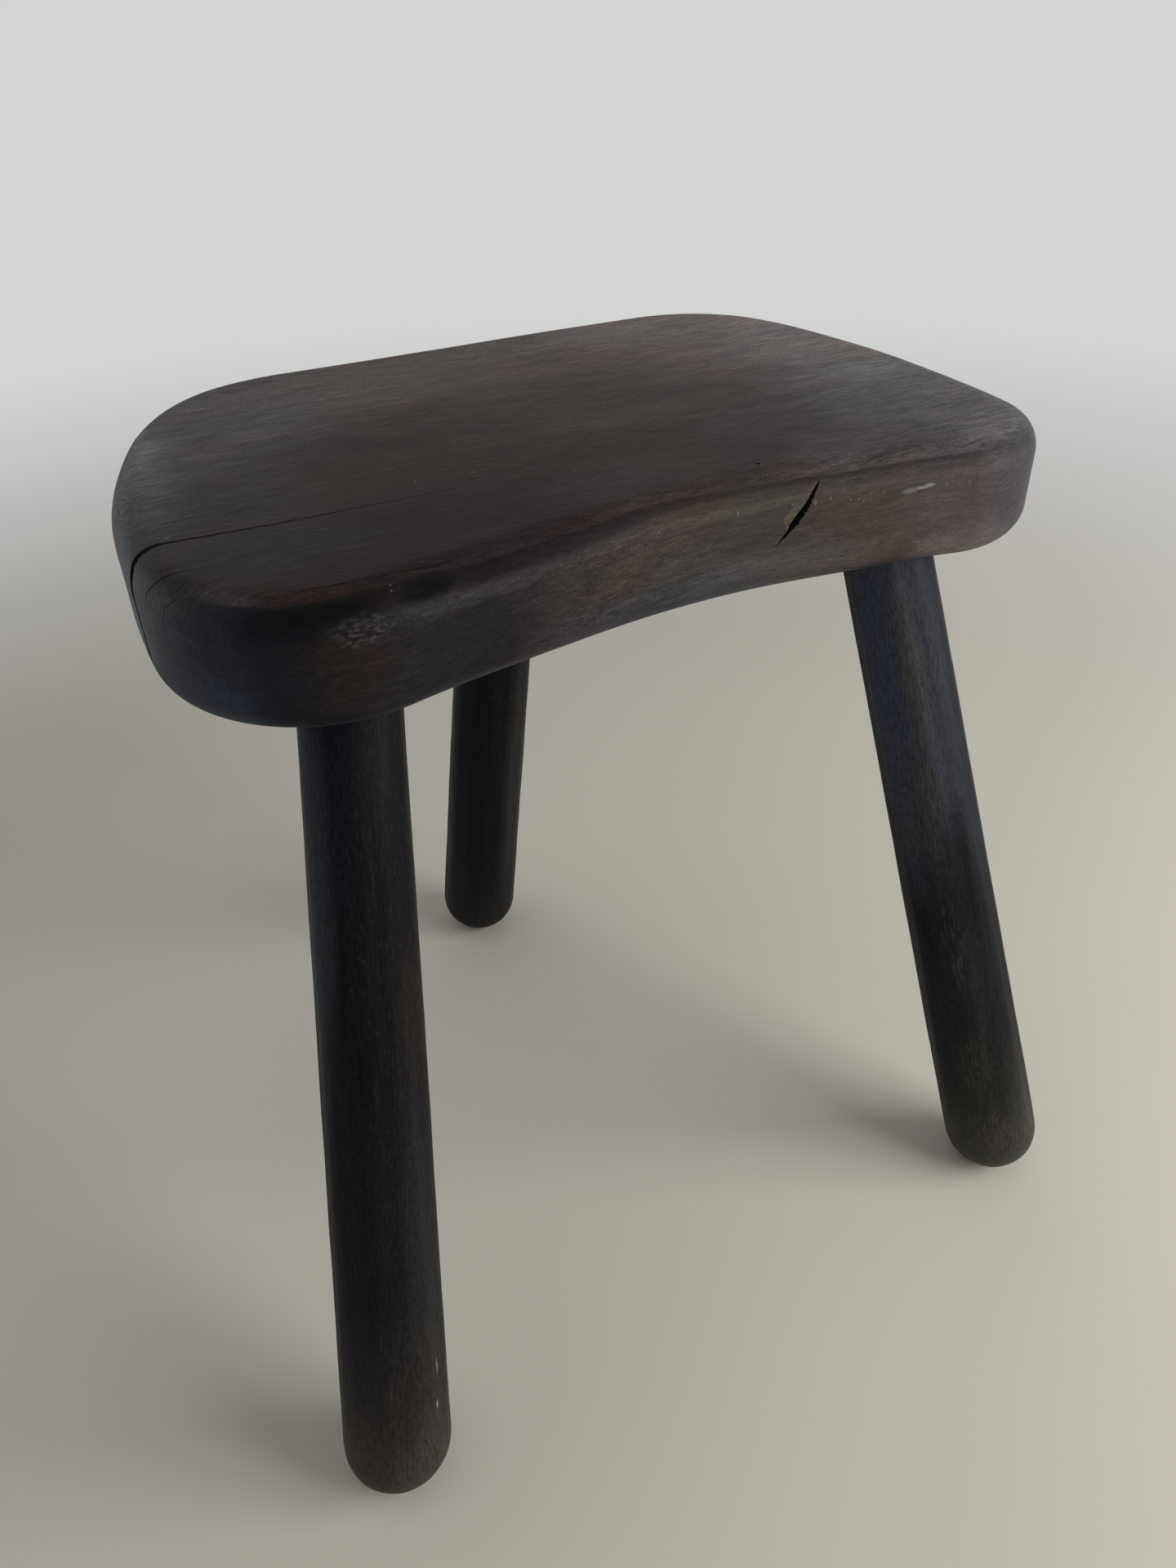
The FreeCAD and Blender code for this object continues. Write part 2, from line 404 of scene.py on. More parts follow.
def use_group(group, place, *values):
    """Puts a shared group into a finish with its own values, in the order of the group's inputs."""
    step = place.tree.nodes.new("ShaderNodeGroup")
    step.node_tree = group
    for socket, value in zip(step.inputs, (place, *values)):
        fill(socket, value)
    return flows(step)


def patch(place, centre, reach, speckle, raggedness):
    return use_group(rubbed_patch, place, centre, reach, speckle, raggedness)["Mask"]


def spotted(colour, place, spots, speckle, raggedness, within=None):
    """Lays ragged spots of other colours over a colour, one after the other."""
    for centre, reach, spot_colour, strength in spots:
        mask = patch(place, centre, reach, speckle, raggedness)
        if within is not None:
            mask = mask * within
        colour = tint(mask * strength, colour, spot_colour)
    return colour


def open_finish(name, colour):
    """A material, its shader's inputs and the piece's own coordinates."""
    finish = bpy.data.materials.new(name)
    finish.use_nodes = True
    finish.diffuse_color = (*colour, 1.0)
    place = put(finish.node_tree, "ShaderNodeTexCoord", {}, "Object")
    return finish, finish.node_tree.nodes["Principled BSDF"].inputs, place


def raise_grain(shader, height, distance, strength):
    bump = {"Strength": strength, "Distance": distance, "Height": height}
    fill(shader["Normal"], put(height.tree, "ShaderNodeBump", bump))


def wax(shader, gloss, haze, haze_colour):
    """A thin old wax: a weak shine and a faint dusty haze."""
    fill(shader["Specular IOR Level"], gloss)
    fill(shader["Sheen Weight"], haze)
    fill(shader["Sheen Roughness"], 0.35)
    fill(shader["Sheen Tint"], haze_colour)


# Grain of each wood: fibre length and width, width of the growth rings, and where the tree's heart lies.
seat_heart = (0.0, -0.040, 0.190)
seat_grain = (0.022, 0.0016, 0.0065, seat_heart)
split_grain = (0.020, 0.0012, 0.0065, seat_heart)
seat_brown = (0.0290, 0.0175, 0.0115)
wall_brown = (0.0380, 0.0290, 0.0240)
rim_shade_brown = (0.0085, 0.0045, 0.0036)
corner_shade_black = (0.0056, 0.0066, 0.0092)
blackening_colour = (0.0042, 0.0038, 0.0039)
red_stain = (1.06, 0.98, 0.96)
green_stain = (0.94, 1.02, 1.03)
pore_black = (0.0040, 0.0035, 0.0030)
chalk_white = (0.21, 0.215, 0.21)

# How use, dust and old wax have changed the stain, with painted light among the tones: the top is painted
# lighter and greyer to the back, the right and the left rim as painted sheen and reflection, and darker to
# the front left, partly as painted shade. Centre of each place, its reach, colour and strength.
top_stain_and_light = (
    ((-0.070, -0.062, 0.352), (0.115, 0.052, 0.025), (0.0165, 0.0092, 0.0078), 0.92),
    ((-0.138, 0.002, 0.352), (0.055, 0.090, 0.070), (0.0350, 0.0315, 0.0295), 0.80),
    ((0.000, 0.140, 0.352), (0.225, 0.128, 0.110), (0.1020, 0.0795, 0.0680), 0.92),
    ((0.045, 0.022, 0.352), (0.100, 0.050, 0.070), (0.0560, 0.0420, 0.0345), 0.80),
    ((-0.127, 0.080, 0.352), (0.078, 0.076, 0.110), (0.0850, 0.0715, 0.0710), 0.90),
    ((0.120, 0.095, 0.352), (0.104, 0.100, 0.110), (0.1560, 0.1260, 0.1140), 0.92),
    ((0.072, -0.028, 0.352), (0.048, 0.036, 0.025), (0.0620, 0.0540, 0.0500), 0.65),
    ((0.152, -0.030, 0.352), (0.080, 0.094, 0.090), (0.1370, 0.1350, 0.1380), 0.92),
    ((0.022, -0.055, 0.352), (0.074, 0.034, 0.025), (0.0355, 0.0272, 0.0222), 0.80),
    ((0.022, -0.071, 0.351), (0.066, 0.014, 0.020), (0.0640, 0.0510, 0.0450), 0.80),
    ((-0.048, -0.072, 0.351), (0.040, 0.012, 0.012), (0.0280, 0.0190, 0.0175), 0.70),
    ((0.086, -0.066, 0.352), (0.045, 0.034, 0.025), (0.0770, 0.0690, 0.0660), 0.85),
    ((0.124, -0.036, 0.352), (0.036, 0.026, 0.020), (0.0880, 0.0870, 0.0860), 0.60),
    ((0.134, -0.073, 0.351), (0.032, 0.017, 0.012), (0.1620, 0.1600, 0.1680), 0.25),
    ((-0.158, 0.022, 0.351), (0.030, 0.060, 0.020), (0.0860, 0.0900, 0.0940), 0.80),
    ((-0.152, 0.068, 0.349), (0.026, 0.050, 0.020), (0.1900, 0.1830, 0.1810), 0.80),
    ((-0.124, -0.048, 0.352), (0.045, 0.026, 0.025), (0.0170, 0.0158, 0.0152), 0.85),
    ((-0.1425, -0.069, 0.3497), (0.020, 0.016, 0.0028), (0.0420, 0.0395, 0.0390), 0.85),
    ((0.148, 0.064, 0.352), (0.054, 0.060, 0.040), (0.2080, 0.1770, 0.1620), 0.80),
)
# Tones of the rims and the faces below them, also with painted light among them: light grey at the right
# end and the front right corner and bluish grey at the left end and the front left lobe, as painted
# reflection; pale bands along the front rounding as painted highlight; near black and bluish black at the
# front left as painted shade. The rest is changed stain.
side_stain_and_light = (
    ((-0.045, -0.080, 0.330), (0.095, 0.030, 0.034), (0.0310, 0.0275, 0.0262), 0.92),
    ((0.085, -0.078, 0.330), (0.110, 0.024, 0.024), (0.0570, 0.0440, 0.0395), 0.95),
    ((0.134, -0.078, 0.332), (0.052, 0.042, 0.030), (0.0810, 0.0710, 0.0720), 0.95),
    ((0.005, -0.070, 0.331), (0.065, 0.024, 0.018), (0.0490, 0.0370, 0.0335), 0.90),
    ((0.000, -0.071, 0.3405), (0.064, 0.014, 0.0065), (0.0580, 0.0475, 0.0430), 0.85),
    ((0.024, -0.069, 0.3445), (0.040, 0.012, 0.0055), (0.0720, 0.0530, 0.0400), 0.75),
    ((-0.075, -0.082, 0.324), (0.041, 0.028, 0.032), (0.0104, 0.0100, 0.0108), 0.94),
    ((-0.115, -0.089, 0.328), (0.024, 0.016, 0.020), (0.0205, 0.0110, 0.0094), 0.90),
    ((-0.113, -0.088, 0.335), (0.012, 0.012, 0.006), (0.0240, 0.0160, 0.0100), 0.50),
    ((-0.139, -0.078, 0.327), (0.022, 0.024, 0.020), (0.0098, 0.0132, 0.0235), 0.90),
    ((-0.148, -0.067, 0.334), (0.020, 0.022, 0.036), (0.0200, 0.0245, 0.0350), 0.80),
    ((-0.157, -0.051, 0.336), (0.017, 0.023, 0.036), (0.0480, 0.0560, 0.0720), 0.90),
    ((-0.158, 0.026, 0.337), (0.024, 0.105, 0.060), (0.0620, 0.0625, 0.0640), 0.80),
    ((-0.163, -0.006, 0.337), (0.014, 0.056, 0.044), (0.1160, 0.1250, 0.1350), 0.92),
    ((-0.151, -0.064, 0.316), (0.026, 0.032, 0.016), (0.0390, 0.0530, 0.0800), 0.80),
    ((-0.152, -0.058, 0.347), (0.016, 0.016, 0.007), (0.0380, 0.0390, 0.0440), 0.60),
    ((-0.158, -0.044, 0.347), (0.012, 0.022, 0.010), (0.0950, 0.1000, 0.1080), 0.60),
    ((0.144, -0.080, 0.334), (0.022, 0.018, 0.036), (0.0520, 0.0510, 0.0570), 0.92),
    ((0.000, -0.072, 0.310), (0.060, 0.030, 0.010), (0.0320, 0.0330, 0.0390), 0.75),
    ((0.050, -0.074, 0.317), (0.058, 0.030, 0.011), (0.0780, 0.0635, 0.0595), 0.85),
    ((0.118, -0.080, 0.315), (0.025, 0.030, 0.011), (0.1240, 0.1060, 0.1040), 0.85),
    ((-0.005, -0.074, 0.317), (0.058, 0.020, 0.010), (0.0400, 0.0405, 0.0450), 0.70),
    ((-0.066, -0.0825, 0.3405), (0.034, 0.012, 0.0036), (0.0330, 0.0330, 0.0340), 0.80),
)

# Places painted near black and made rougher: centre, reach and strength.
blackened_places = (
    ((-0.116, -0.0850, 0.3470), (0.026, 0.012, 0.0042), 0.95),
    ((-0.085, -0.0836, 0.3468), (0.016, 0.010, 0.0042), 0.95),
)

# Places rubbed through in flakes, their pale grey flecks partly painted highlight on the front left and
# left
# rims: centre, reach, colour and strength.
rubbed_and_highlight_places = (
    ((-0.1055, -0.0890, 0.3410), (0.0140, 0.0080, 0.0058), (0.0600, 0.0530, 0.0520), 0.90),
    ((-0.0870, -0.0870, 0.3402), (0.0130, 0.0080, 0.0042), (0.0440, 0.0430, 0.0430), 0.40),
    ((-0.1560, 0.0220, 0.3490), (0.0070, 0.0340, 0.0050), (0.2400, 0.2500, 0.2600), 0.60),
)

# Chalky scratches and specks: centre, reach and strength.
chalk_marks = (
    ((0.0985, -0.0788, 0.3395), (0.0036, 0.0030, 0.0008), 0.90),
    ((0.1014, -0.0792, 0.3400), (0.0026, 0.0030, 0.0009), 1.00),
    ((0.0938, -0.0781, 0.3391), (0.0042, 0.0030, 0.0014), 0.50),
    ((0.1082, -0.0803, 0.3391), (0.0005, 0.0020, 0.0010), 0.50),
    ((0.1169, -0.0819, 0.3391), (0.0003, 0.0020, 0.0016), 0.40),
    ((0.0709, -0.0751, 0.3395), (0.0005, 0.0020, 0.0005), 0.55),
    ((0.0741, -0.0755, 0.3390), (0.0005, 0.0020, 0.0005), 0.55),
    ((0.0760, -0.0758, 0.3382), (0.0005, 0.0020, 0.0005), 0.50),
    ((0.0836, -0.0768, 0.3400), (0.0005, 0.0020, 0.0006), 0.45),
    ((0.0633, -0.0739, 0.3410), (0.0004, 0.0020, 0.0010), 0.50),
    ((0.0576, -0.0732, 0.3402), (0.0007, 0.0020, 0.0012), 0.50),
    ((0.0492, -0.0723, 0.3410), (0.0010, 0.0020, 0.0007), 0.25),
    ((0.0282, -0.0709, 0.3417), (0.0004, 0.0020, 0.0012), 0.60),
    ((0.0164, -0.0709, 0.3423), (0.0010, 0.0020, 0.0006), 0.20),
    ((-0.0022, -0.0722, 0.3418), (0.0010, 0.0020, 0.0004), 0.20),
    ((-0.0950, -0.0825, 0.3502), (0.0004, 0.0005, 0.0005), 0.40),
    ((-0.0953, -0.0840, 0.3491), (0.0004, 0.0005, 0.0005), 0.30),
    ((-0.0644, -0.0160, seat_top), (0.0005, 0.0005, 0.0020), 0.80),
    ((-0.0449, -0.0178, seat_top), (0.0005, 0.0005, 0.0020), 0.70),
    ((-0.1469, -0.0219, seat_top), (0.0010, 0.0005, 0.0020), 0.70),
    ((-0.0396, 0.0128, seat_top), (0.0005, 0.0006, 0.0020), 0.60),
    ((0.0262, 0.0253, seat_top), (0.0005, 0.0006, 0.0020), 0.60),
    ((-0.0139, -0.0332, seat_top), (0.0010, 0.0007, 0.0020), 0.30),
)

# The dark line under the front rim, painted shade: from one x to another, its upper edge moves down and its
# lower edge up.
rim_shade_moves = (
    (-0.040, 0.090, 0.17, 0.00),
    (-0.105, -0.135, 0.06, 0.00),
    (0.040, 0.090, -0.04, 0.04),
    (0.118, 0.140, -0.14, 0.14),
    (-0.040, 0.020, 0.00, 0.13),
    (0.050, 0.090, 0.00, -0.03),
)


def stained_seat():
    """Dark stain over the grain, changed in places, with painted sheen, reflection and shade in its tones,
    painted shade along the front rim and a worn wax.
    """
    finish, shader, place = open_finish("stained_seat_wood", seat_brown)
    grain = use_group(wood_fibre, place, *seat_grain)
    broad = cloud(place * (9.0, 30.0, 30.0), 1.0, 3.0, 0.5)
    hair = cloud(place * (160.0, 1300.0, 1300.0), 1.0, 3.0, 0.65)
    dash = cloud(place * (45.0, 620.0, 620.0), 1.0, 2.0, 0.5)
    grit = cloud(place, 1100.0, 3.0, 0.65)
    x, y, _ = parts(place)
    upright = parts(put(place.tree, "ShaderNodeNewGeometry", {}, "Normal"))[2]

    sag = ease(x, -0.085, -0.065) * ease(x, -0.005, -0.035)
    from_above = sag * 0.10
    from_below = sag * -0.09
    for start, end, above, below in rim_shade_moves:
        move = ease(x, start, end)
        from_above = from_above + move * above
        from_below = from_below + move * below
    past_rim = ease(upright + from_above, 0.885, 0.810)
    soft_ends = calc("MAXIMUM", ease(x, -0.136, -0.152), ease(x, 0.116, 0.140))
    past_rim = past_rim + (ease(upright, 0.99, 0.45) - past_rim) * soft_ends

    # The top's tones: painted sheen and reflection to the back and right, painted shade to the front left.
    tone = spotted(seat_brown, place, top_stain_and_light, 90.0, 0.50)
    wall = past_rim * ease(y, -0.060, -0.020)
    tone = tint(wall * 0.85, tone, wall_brown)
    # The front left corner below the rim is painted bluish black: painted shade.
    corner = ease(x, -0.060, -0.095) * ease(y, 0.0, -0.050)
    tone = tint(corner * past_rim, tone, corner_shade_black)
    # The rims' and faces' tones: painted reflection at both ends, painted highlight on the front rounding,
    # painted shade at the front left.
    tone = spotted(tone, place, side_stain_and_light, 80.0, 0.8, past_rim)
    # Near black, rougher places on the front left rim, deepening the dark line there.
    blackening = 0.0
    for centre, reach, strength in blackened_places:
        blackening = calc("MAXIMUM", blackening, patch(place, centre, reach, 80.0, 0.8) * past_rim * strength)

    # The dark line on the front rounding, set by which way the surface faces: painted shade, a dark
    # reflection.
    rim_shade = past_rim * ease(upright - from_below, 0.29, 0.56)
    fading = ease(x, -0.025, -0.070) * 0.34 + 0.66
    under_rim_shade = past_rim * ease(upright, 0.30, 0.46) * (ease(x, -0.03, 0.01) * 0.34)
    rim_shade = calc("MAXIMUM", rim_shade * fading, under_rim_shade)
    round_right = ease(x, 0.112, 0.140)
    broad_rim_shade = ease(upright, 0.985, 0.80) * ease(upright, 0.42, 0.70)
    rim_shade = rim_shade * (1.0 - round_right) + broad_rim_shade * (round_right * 0.30)
    rim_shade = rim_shade * (ease(y, -0.030, -0.058) * ease(x, -0.122, -0.100))
    tone = tint(rim_shade, tone, rim_shade_brown)
    tone = tint(blackening, tone, blackening_colour)

    lines = ease(grain["Streak"], 0.32, 0.68) * 0.48 + 0.76
    for pattern, low, high, least, span in (
            (broad, 0.30, 0.70, 0.82, 0.36), (hair, 0.32, 0.68, 0.72, 0.56),
            (dash, 0.60, 0.76, 1.00, 0.30), (grit, 0.30, 0.70, 0.76, 0.48)):
        lines = lines * (ease(pattern, low, high) * span + least)
    lines = lines - grain["Ring"] * 0.06
    smooth_face = past_rim * calc("MAXIMUM", ease(x, -0.02, 0.04), ease(x, -0.115, -0.135))
    lines = (lines - 1.0) * (1.0 - smooth_face * 0.45) + 1.0
    colour = shaded(tone, lines)
    stain = ease(cloud(place * (16.0, 30.0, 30.0), 1.0, 2.0, 0.5), 0.42, 0.58)
    colour = tint(1.0, colour, tint(stain, red_stain, green_stain), "MULTIPLY")
    colour = tint(grain["Pore"] * 0.45, colour, pore_black)

    # Rubbed flecks, partly painted highlight on the rims.
    flake = ease(cloud(place * (420.0, 900.0, 900.0), 1.0, 3.0, 0.6), 0.42, 0.66)
    colour = spotted(colour, place, rubbed_and_highlight_places, 200.0, 1.0, flake)
    chalk = 0.0
    crumble = grit * 0.9
    for centre, reach, strength in chalk_marks:
        ragged = calc("LENGTH", (place - centre) / reach) + crumble
        chalk = calc("MAXIMUM", chalk, ease(ragged, 1.50, 0.80) * strength)
    fill(shader["Base Color"], tint(chalk, colour, chalk_white))
    dull = calc("MAXIMUM", blackening, rim_shade * sag * 0.6)
    fill(shader["Roughness"], broad * 0.14 + 0.50 + dull * 0.35 + grain["Pore"] * 0.15)
    wax(shader, 0.13, 0.04, (0.86, 0.93, 1.0))
    raise_grain(shader, grain["Relief"] + hair * 0.5, 0.0003, 0.45)
    return finish


def split_wood(name, deep, torn):
    """Bare fibres inside a crack or cut; in the narrow cracks they are painted near black, as painted
    shade.
    """
    finish, shader, place = open_finish(name, torn)
    grain = use_group(wood_fibre, place, *split_grain)
    fill(shader["Base Color"], tint(ease(grain["Streak"], 0.35, 0.75), deep, torn))
    fill(shader["Roughness"], 0.85)
    raise_grain(shader, grain["Relief"], 0.0005, 0.8)
    return finish


seat_finish = stained_seat()
# Cracks, deep slit walls and the worm hole are painted near black, far darker than the bare torn wood of
# the gash: painted shade deep inside them.
crack_shade_finish = split_wood("split_grain", (0.002, 0.0018, 0.0016), (0.008, 0.006, 0.005))
gash_finish = split_wood("torn_wood", (0.042, 0.029, 0.020), (0.098, 0.070, 0.048))

# Drying checks, as places along each on the seat's skin, with the width and depth there.
main_check = (
    ((-0.1615, -0.0345, 0.3165), 0.0004, 0.003),
    ((-0.1615, -0.0345, 0.3217), 0.0016, 0.006),
    ((-0.1615, -0.0345, 0.3313), 0.0018, 0.008),
    ((-0.1612, -0.0335, 0.3400), 0.0020, 0.010),
    ((-0.1603, -0.0295, 0.3447), 0.0025, 0.010),
    ((-0.1587, -0.0260, 0.3476), 0.0034, 0.010),
    ((-0.1555, -0.0250, 0.3502), 0.0036, 0.010),
    ((-0.1523, -0.0250, 0.3515), 0.0026, 0.010),
    ((-0.1474, -0.0253, seat_top), 0.0016, 0.010),
    ((-0.1338, -0.0263, seat_top), 0.0013, 0.010),
    ((-0.1163, -0.0275, seat_top), 0.0010, 0.009),
    ((-0.0982, -0.0281, seat_top), 0.0008, 0.007),
    ((-0.0821, -0.0281, seat_top), 0.0006, 0.005),
    ((-0.0650, -0.0284, seat_top), 0.0004, 0.003),
    ((-0.0500, -0.0292, seat_top), 0.0001, 0.001),
)
edge_check = (
    ((-0.1297, -0.0765, 0.3511), 0.0001, 0.001),
    ((-0.1153, -0.0778, 0.3517), 0.0006, 0.004),
    ((-0.0980, -0.0789, 0.3517), 0.0008, 0.005),
    ((-0.0778, -0.0774, 0.3506), 0.0006, 0.004),
    ((-0.0690, -0.0762, 0.3506), 0.0001, 0.001),
)
end_check = (
    ((-0.1592, -0.0466, 0.3435), 0.0002, 0.001),
    ((-0.1579, -0.0458, 0.3465), 0.0005, 0.003),
    ((-0.1523, -0.0474, 0.3508), 0.0006, 0.004),
    ((-0.1483, -0.0490, 0.3518), 0.0004, 0.004),
    ((-0.1387, -0.0488, seat_top), 0.0003, 0.003),
    ((-0.1279, -0.0495, seat_top), 0.0001, 0.001),
)
lobe_check = (
    ((-0.1562, -0.0569, 0.3306), 0.0001, 0.001),
    ((-0.1564, -0.0567, 0.3399), 0.0002, 0.002),
    ((-0.1547, -0.0563, 0.3460), 0.0003, 0.002),
    ((-0.1491, -0.0596, 0.3496), 0.0001, 0.001),
)
right_check = (
    ((0.1685, -0.0090, 0.3440), 0.0002, 0.001),
    ((0.1577, -0.0105, 0.3515), 0.0005, 0.004),
    ((0.1400, -0.0125, seat_top), 0.0001, 0.001),
)
check_step = 0.0016
check_wander = 0.00016
check_proud = 0.0012
main_check_lip = 0.0018


def lofted(rings, sides):
    """Faces of a closed tube of rings, one after the other, with both ends shut."""
    last = sides * (rings - 1)
    faces = [tuple(range(sides))]
    for base in range(0, last, sides):
        for side in range(sides):
            other = (side + 1) % sides
            faces.append((base + other, base + side, base + sides + side, base + sides + other))
    return faces + [tuple(range(last, last + sides))[::-1]]


def split_blade(name, course, seed, worn_lip=0.0):
    """A thin wedge that follows the skin, standing proud of it, to be cut out of the seat."""
    draw = random.Random(seed)
    stations = []
    for (start, start_width, start_depth), (end, end_width, end_depth) in zip(course, course[1:]):
        start = Vector(start)
        end = Vector(end)
        steps = max(2, int((end - start).length / check_step))
        for step in range(steps):
            part = step / steps
            stations.append((start.lerp(end, part), start_width + (end_width - start_width) * part,
                             start_depth + (end_depth - start_depth) * part))
    stations.append((Vector(course[-1][0]), course[-1][1], course[-1][2]))
    placed = [on_skin(station[0]) for station in stations]
    verts = []
    wander = 0.0
    for step, ((skin, facing), (_, width, depth)) in enumerate(zip(placed, stations)):
        ahead = placed[min(step + 1, len(placed) - 1)][0]
        behind = placed[max(step - 1, 0)][0]
        aside = (ahead - behind).cross(facing).normalized()
        wander = 0.8 * wander + draw.uniform(-check_wander, check_wander)
        middle = skin + aside * wander
        left = 0.5 * width * draw.uniform(0.75, 1.25)
        right = 0.5 * width * draw.uniform(0.75, 1.25)
        lip = worn_lip * (1.0 - abs(facing.z))
        verts.append(middle + facing * check_proud + aside * (left + 4.0 * lip))
        verts.append(middle + facing * check_proud - aside * right)
        verts.append(middle - facing * depth)
        verts.append(middle - facing * (0.0002 + 0.3 * lip) + aside * left)
    return new_piece(name, verts, lofted(len(stations), 4), crack_shade_finish)


# The gash: share of its length from the lower end, width of the slit, width of the flake beside it, depth.
gash_foot = Vector((0.0432, -0.0722, 0.3262))
gash_head = Vector((0.0600, -0.0711, 0.3472))
gash_course = (
    (0.00, 0.0001, 0.0001, 0.0004),
    (0.10, 0.0006, 0.0002, 0.0025),
    (0.25, 0.0015, 0.0002, 0.0045),
    (0.30, 0.0018, 0.0012, 0.0050),
    (0.34, 0.0019, 0.0039, 0.0053),
    (0.45, 0.0021, 0.0039, 0.0060),
    (0.60, 0.0018, 0.0036, 0.0060),
    (0.80, 0.0011, 0.0028, 0.0044),
    (0.95, 0.0006, 0.0014, 0.0020),
    (1.00, 0.0002, 0.0002, 0.0006),
)
gash_steps = 44
gash_proud = 0.004
flake_step = 0.00045
flake_sink = 0.0013


def gash_cutter():
    """A deep slit with one torn edge, and beside it a shallow flake pressed down towards the slit."""
    draw = random.Random(11)
    _, facing = on_skin(gash_foot.lerp(gash_head, 0.5))
    inward = -Vector((facing.x, facing.y, 0.0)).normalized()
    along = gash_head - gash_foot
    along -= inward * along.dot(inward)
    aside = along.normalized().cross(inward)
    shares, *columns = zip(*gash_course)
    verts = []
    for step in range(gash_steps + 1):
        share = step / gash_steps
        slit, flake, depth = (float(np.interp(share, shares, column)) for column in columns)
        torn = slit * draw.uniform(0.82, 1.18)
        flake *= draw.uniform(0.96, 1.04)
        skin, _ = on_skin(gash_foot.lerp(gash_head, share))
        verts.append(skin - inward * gash_proud + aside * flake)
        verts.append(skin + inward * min(flake_step, 0.3 * flake) + aside * flake)
        verts.append(skin + inward * min(flake_sink, 0.3 * flake))
        verts.append(skin + inward * depth - aside * torn * 0.55)
        verts.append(skin - aside * torn)
        verts.append(skin - inward * gash_proud - aside * torn)
    sides = 6
    slit_sides = (2, 3)
    cutter = new_piece("gash_cutter", verts, lofted(gash_steps + 1, sides), gash_finish, crack_shade_finish)
    for polygon in cutter.data.polygons:
        if 0 < polygon.index <= sides * gash_steps and (polygon.index - 1) % sides in slit_sides:
            polygon.material_index = 1
    return cutter


# The sockets lie on the legs' own lines, so the legs' sizes stand here, with each leg's splay and rake.
foot_radius = 0.0213
neck_radius = 0.0169
socket_cover = 0.014
socket_clearance = 0.0001
socket_end_gap = 0.0004
socket_run_in = 0.03
foot_wear = 0.0008
leg_lean = {
    "front_left": (9.1, 15.15),
    "front_right": (-9.95, 14.6),
    "rear": (0.25, -16.4),
}
foot_places = {mount["name"]: Vector(mount["pos_m"]) for mount in frame["record"]["mounts"]}


def leg_line(name):
    """Centre of the round foot, direction up the leg, distances to neck and hidden end, and slope."""
    splay, rake = leg_lean[name]
    lean = Vector((math.tan(math.radians(splay)), math.tan(math.radians(rake)), 1.0))
    foot = foot_places["foot_" + name] + Vector((0, 0, foot_radius - foot_wear))
    neck = (seat_underside - foot.z) * lean.length
    end = (seat_top - socket_cover - foot.z) * lean.length
    return foot, lean.normalized(), neck, end, math.asin((foot_radius - neck_radius) / neck)


def ring_cone(name, start, axis, length, radii, finish, sides=72):
    """A closed tapered plug, used to bore a hole."""
    across = axis.orthogonal().normalized()
    aside = axis.cross(across)
    verts = []
    for centre, radius in zip((start, start + axis * length), radii):
        for side in range(sides):
            angle = 2.0 * math.pi * side / sides
            verts.append(centre + (across * math.cos(angle) + aside * math.sin(angle)) * radius)
    return new_piece(name, verts, [face[::-1] for face in lofted(2, sides)], finish)


def socket_cutter(name):
    foot, axis, neck, end, slope = leg_line(name)
    below = neck - socket_run_in
    radii = [(foot_radius - run * math.sin(slope)) / math.cos(slope) + socket_clearance
             for run in (below, end)]
    return ring_cone("socket_" + name, foot + axis * below, axis, end - below, radii, seat_finish)


def finished_mesh(piece):
    """Makes the evaluated piece a plain mesh, with no modifier left."""
    evaluated = piece.evaluated_get(bpy.context.evaluated_depsgraph_get())
    mesh = bpy.data.meshes.new_from_object(evaluated)
    mesh.name = piece.name
    piece.modifiers.clear()
    piece.data = mesh


def cut_out(piece, cutters):
    for cutter in cutters:
        cut = piece.modifiers.new(cutter.name, "BOOLEAN")
        cut.operation = "DIFFERENCE"
        cut.solver = "MANIFOLD"
        cut.material_mode = "TRANSFER"
        cut.object = cutter
    finished_mesh(piece)
    for cutter in cutters:
        bpy.data.objects.remove(cutter)


worm_hole_foot = Vector((0.0433, -0.0580, seat_top - 0.004))
worm_hole_length = 0.006
worm_hole_radius = 0.00075
seat = new_piece("seat_board", *seat_blank(), seat_finish)
cut_out(seat, [
    split_blade("main_check", main_check, 3, main_check_lip),
    split_blade("edge_check", edge_check, 5),
    split_blade("end_check", end_check, 8),
    split_blade("lobe_check", lobe_check, 4),
    split_blade("right_check", right_check, 9),
    gash_cutter(),
    ring_cone("worm_hole", worm_hole_foot, Vector((0, 0, 1)), worm_hole_length,
              (worm_hole_radius, worm_hole_radius), crack_shade_finish, 14),
    socket_cutter("front_left"),
    socket_cutter("front_right"),
    socket_cutter("rear"),
])
seat.data.shade_smooth()
seat.data.set_sharp_from_angle(angle=seat_crease)
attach(seat, "root")
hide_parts("seat_slab")

# Legs
# Three round hardwood legs, shaved by hand so that faint flats run up them, thickest near the rounded foot.
# Each is driven into a blind tapered socket under the seat; they are stained black and worn on the foot.
leg_rings = 220
leg_sides = 112
facet_count = 8
facet_depth = 0.020
facet_wobble = 0.10
facet_sway = 13.0
facet_stagger = 2.1
leg_unevenness = 0.0006
leg_crease = math.radians(40.0)


